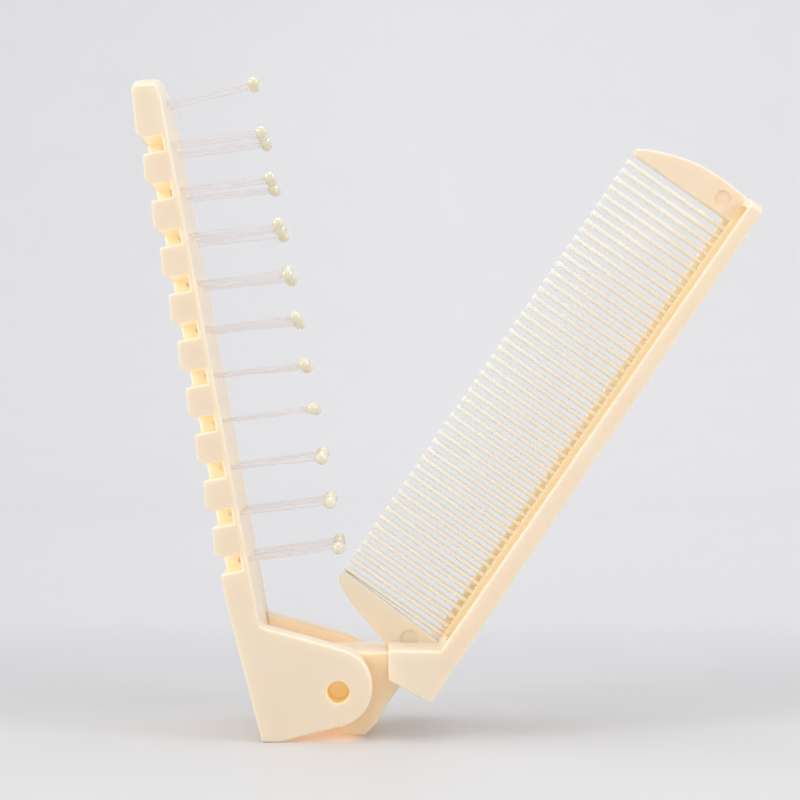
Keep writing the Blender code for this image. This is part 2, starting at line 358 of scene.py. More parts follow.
def mouldedSurface():  # fine grain, soft mottle and flow marks of moulded plastic
    marks = mouldMarks
    group = bpy.data.node_groups.new("moulded surface", "ShaderNodeTree")
    takes = {"Vector": "Vector", "Grain Size": "Float"}
    takes.update({"Main": "Color", "Pale": "Color", "Deep": "Color", "Roughness": "Float"})
    gives = {"Color": "Color", "Roughness": "Float", "Height": "Float"}
    for way, sockets in (("INPUT", takes), ("OUTPUT", gives)):
        for label, kind in sockets.items():
            group.interface.new_socket(label, in_out=way, socket_type="NodeSocket" + kind)
    given = group.nodes.new("NodeGroupInput").outputs
    mottle = put(group, "ShaderNodeTexNoise", {
        "Vector": given["Vector"], "Scale": marks["mottleScale"], "Detail": 3.0,
    })
    stretch = put(group, "ShaderNodeMapping", {
        "Vector": given["Vector"], "Scale": (marks["flowStretch"], marks["flowStretch"], 1.0),
    })
    flow = put(group, "ShaderNodeTexNoise", {
        "Vector": stretch.outputs[0], "Scale": marks["flowScale"], "Detail": 2.0,
    })
    palePart = put(group, "ShaderNodeMapRange", {
        "Value": mottle.outputs["Fac"], "From Min": 0.5, "From Max": 0.75, "To Max": marks["mottleShare"],
    })
    deepPart = put(group, "ShaderNodeMapRange", {
        "Value": flow.outputs["Fac"], "From Min": 0.5, "From Max": 0.8, "To Max": marks["flowShare"],
    })
    lighter = mixed(group, palePart.outputs[0], given["Main"], given["Pale"])
    deeper = mixed(group, deepPart.outputs[0], lighter, given["Deep"])
    perMetre = put(group, "ShaderNodeMath", {0: 1.0, 1: given["Grain Size"]}, operation="DIVIDE")
    grain = put(group, "ShaderNodeTexNoise", {
        "Vector": given["Vector"], "Scale": perMetre.outputs[0], "Detail": 2.0, "Roughness": 0.6,
    })
    smoother, rougher = marks["flowRoughness"]
    shift = put(group, "ShaderNodeMapRange", {
        "Value": flow.outputs["Fac"], "From Min": 0.3, "From Max": 0.7, "To Min": smoother, "To Max": rougher,
    })
    rough = put(group, "ShaderNodeMath", {0: given["Roughness"], 1: shift.outputs[0]}, operation="ADD")
    put(group, "NodeGroupOutput", {
        "Color": deeper, "Roughness": rough.outputs[0], "Height": grain.outputs["Fac"],
    })
    return group


surfaceGroup = mouldedSurface()


# Masks over a half in its upright place, as its shape is drawn
def between(tree, value, low, high, blur):  # 1 inside the range, 0 outside, soft at both ends
    rise = put(tree, "ShaderNodeMapRange", {
        "Value": value, "From Min": low - blur, "From Max": low + blur,
    })
    drop = put(tree, "ShaderNodeMapRange", {
        "Value": value, "From Min": high - blur, "From Max": high + blur, "To Min": 1.0, "To Max": 0.0,
    })
    return product(tree, rise.outputs[0], drop.outputs[0])


def toothMask(tree, upright):  # the toothed stretch, past the web and between the guards, where the teeth's painted light goes
    spot = put(tree, "ShaderNodeSeparateXYZ", {"Vector": upright}).outputs
    low, high = paintedLightPlaces["toothUp"]
    out = between(tree, spot["X"], paintedLightPlaces["toothOut"] * mm, (comb["inner"] - 1.0) * mm, 0.5 * mm)
    up = between(tree, spot["Z"], low * mm, high * mm, 0.06 * mm)
    return product(tree, out, up)


# where the notches' painted light goes
def notchMask(tree, upright):
    b = brush
    spot = put(tree, "ShaderNodeSeparateXYZ", {"Vector": upright}).outputs
    middle, half = rowHeight(0) * mm, b["notchPitch"] / 2 * mm
    phase = put(tree, "ShaderNodeMath", {
        0: spot["Z"], 1: middle + half, 2: middle - half,
    }, operation="WRAP")
    reach = (b["notchHalf"] + 0.1) * mm
    row = between(tree, phase.outputs[0], middle - reach, middle + reach, 0.15 * mm)
    last = rowHeight(b["notches"] - 1) * mm
    rows = between(tree, spot["Z"], middle - half, last + half, 0.1 * mm)
    back, front = (b["ribBack"] - 2) * mm, (b["plateBack"] + 0.15) * mm
    out = between(tree, spot["X"], back, front, 0.1 * mm)
    return product(tree, product(tree, row, rows), out)


def boxMask(tree, place, outRange, sideReach, upRange, blur):  # millimetres
    spot = put(tree, "ShaderNodeSeparateXYZ", {"Vector": place}).outputs
    masks = [
        between(tree, spot[axis], low * mm, high * mm, blur * mm)
        for axis, (low, high) in (("X", outRange), ("Y", (-sideReach, sideReach)), ("Z", upRange))
    ]
    return product(tree, product(tree, masks[0], masks[1]), masks[2])


def roundMask(tree, upright, radius, blur):  # round the hinge axis, in millimetres
    spot = put(tree, "ShaderNodeSeparateXYZ", {"Vector": upright}).outputs
    flat = put(tree, "ShaderNodeCombineXYZ", {"X": spot["X"], "Z": spot["Z"]})
    away = put(tree, "ShaderNodeVectorMath", {0: flat.outputs[0]}, operation="LENGTH")
    return between(tree, away.outputs["Value"], -0.01, radius * mm, blur * mm)


def startMaterial(name):
    material = bpy.data.materials.new(name)
    material.use_nodes = True
    tree = material.node_tree
    place = put(tree, "ShaderNodeTexCoord").outputs["Object"]
    return material, tree, tree.nodes["Principled BSDF"], place


def setPlain(shader, values):  # what is the same all over goes on the shader's own sockets
    for label, value in values.items():
        shader.inputs[label].default_value = value


def combPaintedLight(tree, upright, colour):  # painted light and shade of the comb half: paler thin teeth and guards, a painted glow in the tongue, and painted orange shade and glow at the channel's roots
    c, look, where = comb, paintedLightAndShade, paintedLightPlaces
    plate = c["bladeHalf"] + 0.2
    guard = boxMask(tree, upright, where["guardOut"], plate, where["guardUp"], where["guardBlur"])
    colour = mixed(tree, guard, colour, look["guard"])
    colour = mixed(tree, toothMask(tree, upright), colour, look["teeth"])
    tongue = roundMask(tree, upright, where["tongueReach"], where["tongueBlur"])
    light = mixed(tree, tongue, (0, 0, 0), look["tongueGlow"])
    channel = (c["inner"] - 0.1, c["floor"] + 0.4)
    root = boxMask(tree, upright, channel, halfWidth - 1.3, where["rootUp"], where["rootBlur"])
    return mixed(tree, root, colour, look["root"]), mixed(tree, root, light, look["rootGlow"])


def brushPaintedLight(tree, upright, colour):  # the same for the brush half: a painted brighter colour and glow in the notches, and a painted glow in the ear gap
    b, look, where = brush, paintedLightAndShade, paintedLightPlaces
    notch = notchMask(tree, upright)
    colour = mixed(tree, notch, colour, look["notch"])
    light = mixed(tree, notch, (0, 0, 0), look["notchGlow"])
    gapOut = (b["plateFront"] + 0.3, where["gapOut"])
    gap = boxMask(tree, upright, gapOut, b["earInner"] + 0.1, where["gapUp"], 0.1)
    return colour, mixed(tree, gap, light, look["gapGlow"])


def ivoryPlastic(half):
    look = ivoryFinish
    material, tree, shader, place = startMaterial(half + " ivory")
    lean = Matrix.Rotation(math.radians(-halfLean[half]), 3, "Y")
    stand = put(tree, "ShaderNodeMapping", {
        "Vector": place, "Rotation": lean.to_euler(), "Location": -(lean @ hinge),
    })
    upright = stand.outputs[0]
    surface = put(tree, "ShaderNodeGroup", node_tree=surfaceGroup)
    tree.links.new(upright, surface.inputs["Vector"])
    surface.inputs["Grain Size"].default_value = look["grain"]
    surface.inputs["Roughness"].default_value = look["roughness"]
    for label, key in (("Main", "colour"), ("Pale", "pale"), ("Deep", "deep")):
        surface.inputs[label].default_value = (*look[key], 1)
    bump = put(tree, "ShaderNodeBump", {
        "Height": surface.outputs["Height"], "Distance": look["grainDepth"],
        "Strength": look["grainStrength"],
    })
    # painted light and shade in the thin and hollow places: brighter or paler colour and an emission glow
    patches = {"comb": combPaintedLight, "brush": brushPaintedLight}[half]
    colour, light = patches(tree, upright, surface.outputs["Color"])
    # the hinge hole gets a painted orange colour and glow
    bore = roundMask(tree, upright, brush["hole"] + paintedLightPlaces["boreMargin"], paintedLightPlaces["boreBlur"])
    tree.links.new(mixed(tree, bore, colour, paintedLightAndShade["bore"]), shader.inputs["Base Color"])
    tree.links.new(mixed(tree, bore, light, paintedLightAndShade["boreGlow"]), shader.inputs["Emission Color"])
    tree.links.new(surface.outputs["Roughness"], shader.inputs["Roughness"])
    tree.links.new(bump.outputs[0], shader.inputs["Normal"])
    setPlain(shader, {
        "Emission Strength": 1.0, "IOR": look["ior"], "Subsurface Weight": look["glow"],
        "Subsurface Scale": look["glowDepth"], "Subsurface Radius": look["glowTint"],
    })
    return material


def clearNylon():
    look = nylonFinish
    material, tree, shader, place = startMaterial("clear nylon")
    streak = put(tree, "ShaderNodeTexNoise", {
        "Vector": place, "Scale": look["streakScale"], "Detail": 1.0,
    })
    smoother, rougher = (look["roughness"] * share for share in look["streakRange"])
    rough = put(tree, "ShaderNodeMapRange", {
        "Value": streak.outputs["Fac"], "To Min": smoother, "To Max": rougher,
    })
    tree.links.new(rough.outputs[0], shader.inputs["Roughness"])
    setPlain(shader, {
        "Base Color": (*look["colour"], 1), "Transmission Weight": look["clear"], "IOR": look["ior"],
    })
    return material


def tipResin():
    look = tipFinish
    material, tree, shader, place = startMaterial("ball tip")
    cloud = put(tree, "ShaderNodeTexNoise", {
        "Vector": place, "Scale": look["cloudScale"], "Detail": 2.0,
    })
    tint = mixed(tree, cloud.outputs["Fac"], look["colour"], look["pale"])
    tree.links.new(tint, shader.inputs["Base Color"])
    setPlain(shader, {
        "Roughness": look["roughness"], "Transmission Weight": look["clear"],
        "Subsurface Weight": look["glow"], "Subsurface Scale": look["glowDepth"],
        "Coat Weight": 1.0, "Coat IOR": look["gloss"],
    })
    return material


# The brush half
brush = {
    "plateFront": -11.4,  # face that the bristles stand on
    "plateBack": -12.6,
    "ribBack": -16.8,
    "ribSaw": 0.25,  # each rib's lower back edge is prouder than its upper one by twice this
    "ribRoundLow": 1.3,
    "ribRoundHigh": 0.5,
    "notches": 10,
    "firstNotch": 25.5,
    "notchPitch": 8.32,
    "notchHalf": 1.4,
    "spineBack": -16.3,  # the spine joins the ribs at mid width
    "spineHalf": 2.2,
    "spineEdge": 0.3,
    "pocketEdge": 0.25,
    "notchRound": 0.4,
    "kink": (-16.5, 19.4),  # the back turns in towards the foot here
    "kinkRound": 4.0,
    "footHalf": 1.75,
    "heelRound": 0.6,
    "toeRound": 1.0,
    "toeStep": 2.1,
    "stepRound": 3.0,
    "heelUp": -6.56,
    "nose": (-0.78, 0.91),  # middle of the ears' round nose
    "noseRadius": 6.95,
    "noseTurn": 64.0,
    "plateFillet": 1.2,
    "earInner": 6.9,
    "hole": 1.95,
    "endUp": 114.5,  # both halves end here at mid width
    "endDrop": 2.6,  # and this much lower at the sides
    "endBack": 0.75,  # the brush's end is this much lower still at its back
    "endFront": 1.3,  # and this much at its front, where it also tapers in
    "endTaper": 0.45,
    "taperLength": 2.8,
    "endRounds": (2.0, 0.9, 1.0),
    "edge": 0.45,
    "earGapEdge": 0.3,
    "holeEdge": 0.2,
}
bristle = {
    "inner": 3.6,  # distance of the legs from the middle plane
    "outer": 8.6,
    "endPair": 2.5,
    "radius": 0.35,
    "clearance": 0.3,  # between a filament and what it lies in
    "holeClearance": 0.25,  # round a filament, where it passes the plate
    "bend": 0.9,
    "ball": 1.1,
    "ballOut": 4.5,
    "droop": 1.0,  # how far a tip hangs below its root
    "endRise": 1.3,  # the end row's tips stand this much above it instead
    "spread": 0.45,  # most that a tip strays from its row
    "seed": 11,
}


def endArc(y):
    radius = (halfWidth ** 2 + brush["endDrop"] ** 2) / (2 * brush["endDrop"])
    return brush["endUp"] - radius + math.sqrt(radius ** 2 - y ** 2)


def sideLoft(name, cornersAt, edge, steps):  # side outlines across the width, each as tall as its end
    turns = [math.radians(18 * i) for i in range(5)]
    sides = [(edge - halfWidth - edge * math.cos(turn), edge - edge * math.sin(turn)) for turn in turns]
    level = halfWidth - edge
    stations = sides + [(level * (2 * i / steps - 1), 0.0) for i in range(steps + 1)]
    stations += [(-y, inset) for y, inset in reversed(sides)]
    build = bmesh.new()
    addLoft(build, [
        [(x, y, z) for x, z in roundCorners(insetCorners(cornersAt(endArc(y)), inset))]
        for y, inset in stations
    ])
    return makeShape(name, build)


def rowHeight(row):
    return brush["firstNotch"] + brush["notchPitch"] * row


def brushCorners(top):
    b = brush
    heel = floorPoint(-b["footHalf"], 0, "brush")
    toe = floorPoint(b["footHalf"], 0, "brush")
    corners = [
        (*heel, b["heelRound"]), (*toe, b["toeRound"]),
        (toe[0] + b["toeStep"], b["heelUp"], b["stepRound"]),
    ]
    nose = arcPoints(b["nose"], b["noseRadius"], -90, b["noseTurn"], 36)
    corners += [(x, z, 0) for x, z in nose]
    turn = math.radians(b["noseTurn"])
    run = (nose[-1][0] - b["plateFront"]) / math.sin(turn)
    corners.append((b["plateFront"], nose[-1][1] + run * math.cos(turn), b["plateFillet"]))
    frontTop = top - b["endFront"]
    low, high, back = b["endRounds"]
    corners += [
        (b["plateFront"], frontTop - b["taperLength"], low),
        (b["plateFront"] - b["endTaper"], frontTop, high),
        (b["ribBack"] + 2 * b["ribSaw"], top - b["endBack"], back),
    ]
    lastNotch = rowHeight(b["notches"] - 1) + b["notchHalf"]
    firstNotch = rowHeight(0) - b["notchHalf"]
    corners += [
        (b["ribBack"] - b["ribSaw"], lastNotch, b["ribRoundLow"]),
        (b["plateBack"], lastNotch, b["notchRound"]),
        (b["plateBack"], firstNotch, b["notchRound"]),
        (b["ribBack"] + b["ribSaw"], firstNotch, b["ribRoundHigh"]),
        (*b["kink"], b["kinkRound"]),
    ]
    return corners


def ribOutline():
    b = brush
    low, high = b["notchHalf"], b["notchPitch"] - b["notchHalf"]
    root = b["plateBack"] + 0.6  # inside the plate
    return roundCorners([
        (root, low, 0), (root, high, 0),
        (b["ribBack"] + b["ribSaw"], high, b["ribRoundHigh"]),
        (b["ribBack"] - b["ribSaw"], low, b["ribRoundLow"]),
    ])


def ribTree():  # the repeated ribs, joined to the plate
    tree, given = startTree("brush ribs", {
        "Rib": "Object", "Ribs": "Int", "First": "Float", "Pitch": "Float", "Material": "Material",
    })
    start = put(tree, "ShaderNodeCombineXYZ", {"Z": given["First"]})
    step = put(tree, "ShaderNodeCombineXYZ", {"Z": given["Pitch"]})
    line = put(tree, "GeometryNodeMeshLine", {
        "Count": given["Ribs"], "Start Location": start.outputs[0], "Offset": step.outputs[0],
    })
    rib = put(tree, "GeometryNodeObjectInfo", {"Object": given["Rib"]})
    ribs = put(tree, "GeometryNodeInstanceOnPoints", {
        "Points": line.outputs["Mesh"], "Instance": rib.outputs["Geometry"],
    })
    real = put(tree, "GeometryNodeRealizeInstances", {"Geometry": ribs.outputs[0]})
    joined = put(tree, "GeometryNodeMeshBoolean", operation="UNION")
    tree.links.new(given["Geometry"], joined.inputs["Mesh 2"])
    tree.links.new(real.outputs[0], joined.inputs["Mesh 2"])
    endTree(tree, joined.outputs["Mesh"], given["Material"])
    return tree


def perforationTree():  # a round hole round every wire
    tree, given = startTree("bristle holes", {
        "Wires": "Object", "Radius": "Float", "Material": "Material",
    })
    wires = put(tree, "GeometryNodeObjectInfo", {"Object": given["Wires"]})
    paths = put(tree, "GeometryNodeMeshToCurve", {"Mesh": wires.outputs["Geometry"]})
    ring = put(tree, "GeometryNodeCurvePrimitiveCircle", {"Resolution": 16, "Radius": given["Radius"]})
    rods = put(tree, "GeometryNodeCurveToMesh", {
        "Curve": paths.outputs[0], "Profile Curve": ring.outputs[0], "Fill Caps": True,
    })
    cut = put(tree, "GeometryNodeMeshBoolean", {
        "Mesh 1": given["Geometry"], "Mesh 2": rods.outputs[0],
    }, operation="DIFFERENCE")
    endTree(tree, cut.outputs["Mesh"], given["Material"])
    return tree


def bristlePaths():  # four points for each bent filament: tip, back, back, tip
    rng = random.Random(bristle["seed"])
    rooted = (brush["plateFront"] + brush["plateBack"]) / 2
    back = brush["plateBack"] - bristle["clearance"] - bristle["radius"]
    paths = []
    for row in range(brush["notches"] + 1):
        endRow = row == brush["notches"]
        pairs = [(-bristle["endPair"], bristle["endPair"])]
        if not endRow:
            pairs = [(-bristle["outer"], -bristle["inner"]), (bristle["inner"], bristle["outer"])]
        for pair in pairs:
            legs = []
            for y in pair:
                sag = -bristle["endRise"] if endRow else bristle["droop"]
                sag += rng.uniform(-1, 1) * bristle["spread"]
                slope = sag / (bristle["ballOut"] - rooted)
                sway = 0 if endRow else rng.uniform(-0.5, 0.5) * bristle["spread"]
                behind = Vector((back, y, rowHeight(row) - slope * (back - rooted)))
                legs.append((Vector((bristle["ballOut"], y + sway, rowHeight(row) - sag)), behind))
            paths.append((legs[0][0], legs[0][1], legs[1][1], legs[1][0]))
    return paths


def wireShape(name, runs):  # edges only, for node trees to turn into curves
    build = bmesh.new()
    for run in runs:
        verts = [build.verts.new(point) for point in run]
        for a, b in zip(verts, verts[1:]):
            build.edges.new((a, b))
    return makeShape(name, build)


def legWires():  # a short straight wire through the plate for each leg
    wires = []
    for path in bristlePaths():
        for tip, back in ((path[0], path[1]), (path[3], path[2])):
            along = (tip - back) / (tip.x - back.x)
            wires.append((back + along * 0.2, back + along * (brush["plateFront"] - back.x + 0.5)))
    return wireShape("leg wires", wires)


def cutBlock(body, name, outRange, sideReach, upRange, edge=0.0):
    build = bmesh.new()
    addBlock(build, outRange, (-sideReach, sideReach), upRange, edge)
    carve(body, makeShape(name, build), "DIFFERENCE")


def makeBrushBody(material):
    b = brush
    body = sideLoft("brushBody", brushCorners, b["edge"], 24)

    build = bmesh.new()
    addPrism(build, ribOutline(), -halfWidth + 0.01, halfWidth - 0.01)
    rib = makeShape("rib", build)
    softenEdges(rib, b["edge"], 4, aroundFace)
    runTree(body, ribTree(), {
        "Rib": rib, "Ribs": b["notches"] - 1, "First": rowHeight(0), "Pitch": b["notchPitch"],
        "Material": material,
    })
    bpy.data.objects.remove(rib)

    build = bmesh.new()
    low, high = rowHeight(0) - b["notchHalf"] - 1, rowHeight(b["notches"] - 1) + b["notchHalf"] + 1
    outRange, sideRange = (b["spineBack"], b["plateBack"] + 0.5), (-b["spineHalf"], b["spineHalf"])
    addBlock(build, outRange, sideRange, (low, high), b["spineEdge"])
    carve(body, makeShape("spine", build), "UNION")

    gapUp = (-2 * halfWidth, b["kink"][1] - 1)
    cutBlock(body, "ear gap", (b["plateFront"], halfWidth), b["earInner"], gapUp)

    build = bmesh.new()
    addRod(build, (0, 0), b["hole"], -halfWidth - 1, halfWidth + 1)
    carve(body, makeShape("hinge hole", build), "DIFFERENCE")

    wires = legWires()
    runTree(body, perforationTree(), {
        "Wires": wires, "Radius": bristle["radius"] + bristle["holeClearance"], "Material": material,
    })
    bpy.data.objects.remove(wires)

    up, hole = rowHeight(b["notches"]), bristle["radius"] + bristle["clearance"]
    outRange, upRange = (b["ribBack"] - 2, b["plateBack"]), (up - hole - 0.3, up + hole + 0.3)
    cutBlock(body, "end pocket", outRange, bristle["endPair"] + hole, upRange, b["pocketEdge"])

    softenEdges(body, b["earGapEdge"], 3, lambda p, q: (
        abs(abs(p.y) - b["earInner"]) < touch and abs(abs(q.y) - b["earInner"]) < touch
        and abs(p.y - q.y) < touch and max(p.x, q.x) > b["plateFront"] + 0.01
    ))
    softenEdges(body, b["holeEdge"], 3, lambda p, q: all(
        abs(math.hypot(v.x, v.z) - b["hole"]) < 0.01 and abs(abs(v.y) - halfWidth) < 0.01 for v in (p, q)
    ))
    finishShape(body, "brush", "brush")
    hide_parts("brush_body")
    return body


def filleted(tree, curve, radius, points):  # a curve with its corners rounded
    fillet = put(tree, "GeometryNodeFilletCurve", {
        "Curve": curve, "Radius": radius, "Count": points,
    }, mode="POLY")
    return fillet.outputs[0]


def filamentTree():
    tree, given = startTree("bristle filaments", {
        "Radius": "Float", "Bend": "Float", "Material": "Material",
    })
    paths = put(tree, "GeometryNodeMeshToCurve", {"Mesh": given["Geometry"]})
    bent = filleted(tree, paths.outputs[0], given["Bend"], 6)
    ring = put(tree, "GeometryNodeCurvePrimitiveCircle", {"Resolution": 12, "Radius": given["Radius"]})
    rods = put(tree, "GeometryNodeCurveToMesh", {
        "Curve": bent, "Profile Curve": ring.outputs[0], "Fill Caps": True,
    })
    smooth = put(tree, "GeometryNodeSetShadeSmooth", {"Geometry": rods.outputs[0]})
    endTree(tree, smooth.outputs[0], given["Material"])
    return tree


def tipTree():
    tree, given = startTree("bristle tips", {"Radius": "Float", "Material": "Material"})
    paths = put(tree, "GeometryNodeMeshToCurve", {"Mesh": given["Geometry"]})
    ends = put(tree, "GeometryNodeCurveEndpointSelection")
    ball = put(tree, "GeometryNodeMeshUVSphere", {
        "Segments": 20, "Rings": 12, "Radius": given["Radius"],
    })
    smooth = put(tree, "GeometryNodeSetShadeSmooth", {"Geometry": ball.outputs["Mesh"]})
    balls = put(tree, "GeometryNodeInstanceOnPoints", {
        "Points": paths.outputs[0], "Selection": ends.outputs[0], "Instance": smooth.outputs[0],
    })
    endTree(tree, balls.outputs[0], given["Material"])
    return tree


def makeBristles(nylon, resin):
    nodes = [name for name in frame["nodes"] if name.startswith("bristle_")]
    filaments = wireShape("bristleFilaments", bristlePaths())
    runTree(filaments, filamentTree(), {
        "Radius": bristle["radius"], "Bend": bristle["bend"], "Material": nylon,
    })
    tips = wireShape("bristleTips", bristlePaths())
    runTree(tips, tipTree(), {"Radius": bristle["ball"], "Material": resin})
    for piece in (filaments, tips):
        placeHalf(piece, "brush")
        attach(piece, "brush")
        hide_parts(*nodes)
        reportSize(piece)


# The comb half
comb = {
    "inner": 10.7,  # edge of the channel that the teeth come out of
    "outerLow": 14.6,
    "outerTop": 13.2,
    "floor": 12.3,
    "channelLow": 18.0,
    "wall": 1.6,
    "endWall": 1.3,
    "webHalf": 1.15,  # the web between the two channels
    "rimRound": 0.3,
    "bootStep": ((3.07, 11.05, 0.5), (6.07, 6.8, 0.6)),  # out, up and rounding of the boot's corners
    "bootLow": 7.5,
    "bootRound": 0.9,
    "bootTop": 16.1,
    "bladeHalf": 1.1,
    "tongueHalf": 6.6,
    "tongueHead": ((4.0, 10.2, 0), (-1.6, 6.4, 0.4)),  # out, up and rounding, as for the boot
    "tongueRadius": 6.2,
    "tongueTurn": (135, 262),
    "tongueChin": (5.2, -6.15, 1.0),
    "tongueFoot": (3.0, 4.6),  # its flat corner on the floor, measured along the floor from the hinge
    "tongueBack": ((9.3, -1.4, 0.8), (9.0, 2.4, 0.8), (9.0, 9.0, 0)),
    "bossRadius": 1.88,
    "bossReach": 8.4,
    "bossEdge": 0.6,
    "tip": -11.05,  # the guards and the teeth reach this far
    "edge": 0.4,
    "dimples": ((7.3, 112.1), (6.0, 13.6)),
    "dimpleRadius": 1.6,
    "dimpleDepth": 0.25,
}
tooth = {
    "count": 49,
    "first": 17.7,
    "last": 107.9,
    "root": 11.3,
    "halfHeight": 0.56,
    "halfThickness": 1.0,
    "corner": 0.12,
    "tipShare": 0.56,  # size at the tip, from the root's
    "taperStop": 0.96,  # part of the length over which it gets there
    "endShare": 0.35,  # of that size, what is left at the very end
    "endStart": 0.95,
}
inCover = comb["floor"] + 0.6  # the guards run on into the cover as far as this
guards = {  # (out, up) along each guard's curved edge, then its corners in the cover and by the teeth
    "low guard": {
        "curve": (
            (comb["tip"], 16.1), (-10.6, 15.1), (-9.0, 14.2), (-6.5, 13.1), (-2.0, 11.8), (2.7, 10.5),
            (8.0, 9.0),
        ),
        "rest": ((inCover, 10.0), (inCover, 16.3), (comb["inner"] + 0.3, 16.28), (-10.4, 17.1)),
    },
    "high guard": {
        "curve": (
            (comb["tip"], 110.2), (-10.5, 110.9), (-8.6, 112.0), (-5.8, 113.2), (-2.4, 114.3),
            (1.2, 115.0), (4.8, 115.2), (8.0, 115.15), (comb["inner"], 114.9),
        ),
        "rest": ((comb["inner"] + 0.5, 114.3), (inCover, 113.8), (inCover, 109.5), (-10.6, 109.5)),
    },
}


def coverCorners(top):
    c = comb
    slope = (c["outerLow"] - c["outerTop"]) / (brush["endUp"] - c["bootLow"])
    return [
        *c["bootStep"], (c["outerLow"], c["bootLow"], c["bootRound"]),
        (c["outerLow"] - slope * (top - c["bootLow"]), top, c["edge"]), (c["inner"], top, c["edge"]),
        (c["inner"], c["bootTop"], 0.5),
    ]


def tongueOutline():
    c = comb
    near, far = (floorPoint(hinge.x / mm + x, 0, "comb") for x in c["tongueFoot"])
    corners = list(c["tongueHead"])
    corners += [(x, z, 0) for x, z in arcPoints((0, 0), c["tongueRadius"], *c["tongueTurn"], 24)]
    corners += [c["tongueChin"], (*near, 0.3), (*far, 0.3), *c["tongueBack"]]
    return roundCorners(corners, 4)


def toothTree():
    tree, given = startTree("comb teeth", {
        "Teeth": "Int", "First": "Float", "Last": "Float", "Root": "Float", "Tip": "Float",
        "Half Height": "Float", "Half Thickness": "Float", "Corner": "Float", "Tip Share": "Float",
        "Taper Stop": "Float", "End Share": "Float", "End Start": "Float", "Material": "Material",
    })
    start = put(tree, "ShaderNodeCombineXYZ", {"X": given["Root"], "Z": given["First"]})
    stop = put(tree, "ShaderNodeCombineXYZ", {"X": given["Root"], "Z": given["Last"]})
    line = put(tree, "GeometryNodeMeshLine", {
        "Count": given["Teeth"], "Start Location": start.outputs[0], "Offset": stop.outputs[0],
    }, mode="END_POINTS")
    length = put(tree, "ShaderNodeMath", {0: given["Tip"], 1: given["Root"]}, operation="SUBTRACT")
    reach = put(tree, "ShaderNodeCombineXYZ", {"X": length.outputs[0]})
    spine = put(tree, "GeometryNodeCurvePrimitiveLine", {"End": reach.outputs[0]})
    stations = put(tree, "GeometryNodeResampleCurve", {"Curve": spine.outputs[0], "Count": 24})
    along = put(tree, "GeometryNodeSplineParameter")
    taper = put(tree, "ShaderNodeMapRange", {
        "Value": along.outputs["Factor"], "From Max": given["Taper Stop"], "To Min": 1.0,
        "To Max": given["Tip Share"],
    })
    closing = put(tree, "ShaderNodeMapRange", {
        "Value": along.outputs["Factor"], "From Min": given["End Start"], "From Max": 1.0,
        "To Min": 1.0, "To Max": given["End Share"],
    }, interpolation_type="SMOOTHSTEP")
    shaped = put(tree, "GeometryNodeSetCurveRadius", {
        "Curve": stations.outputs[0], "Radius": product(tree, taper.outputs[0], closing.outputs[0]),
    })
    # A six-sided section, flat towards the blade's two faces and edged towards the next tooth
    ring = put(tree, "GeometryNodeCurvePrimitiveCircle", {"Resolution": 6, "Radius": 1.0})
    turned = put(tree, "GeometryNodeTransform", {
        "Geometry": ring.outputs[0], "Rotation": (0, 0, math.radians(30)),
    })
    wide = product(tree, given["Half Thickness"], 1 / math.cos(math.radians(30)))
    sizes = put(tree, "ShaderNodeCombineXYZ", {"X": wide, "Y": given["Half Height"], "Z": 1.0})
    section = put(tree, "GeometryNodeTransform", {
        "Geometry": turned.outputs[0], "Scale": sizes.outputs[0],
    })
    one = put(tree, "GeometryNodeCurveToMesh", {
        "Curve": shaped.outputs[0], "Fill Caps": True,
        "Profile Curve": filleted(tree, section.outputs[0], given["Corner"], 2),
    })
    teeth = put(tree, "GeometryNodeInstanceOnPoints", {
        "Points": line.outputs[0], "Instance": one.outputs[0],
    })
    real = put(tree, "GeometryNodeRealizeInstances", {"Geometry": teeth.outputs[0]})
    joined = put(tree, "GeometryNodeMeshBoolean", operation="UNION")
    tree.links.new(given["Geometry"], joined.inputs["Mesh 2"])
    tree.links.new(real.outputs[0], joined.inputs["Mesh 2"])
    endTree(tree, joined.outputs["Mesh"], given["Material"])
    return tree


def channelCutter(side):  # it flares at the mouth, which rounds the rim of the channel's wall
    c = comb
    wall, mouth = halfWidth - c["wall"], c["inner"] - 0.02
    outline = roundCorners([
        (c["inner"] - 1, c["webHalf"], 0), (c["floor"], c["webHalf"], 0.25), (c["floor"], wall, 0.25),
        (mouth, wall, c["rimRound"]), (mouth, wall + 1, 0), (c["inner"] - 1, wall + 1, 0),
    ])
    near, far = (endArc(y) - c["endWall"] for y in (c["webHalf"], wall))
    fall = (near - far) / (wall - c["webHalf"])
    build = bmesh.new()
    addLoft(build, [
        [(x, side * y, c["channelLow"]) for x, y in outline],
        [(x, side * y, near - fall * (y - c["webHalf"])) for x, y in outline],
    ])
    return makeShape("channel", build)


def joinPrism(body, name, outline, half, edge, steps):  # a plate with rounded edges, joined on
    build = bmesh.new()
    addPrism(build, outline, -half, half)
    plate = makeShape(name, build)
    softenEdges(plate, edge, steps, aroundFace)
    carve(body, plate, "UNION")


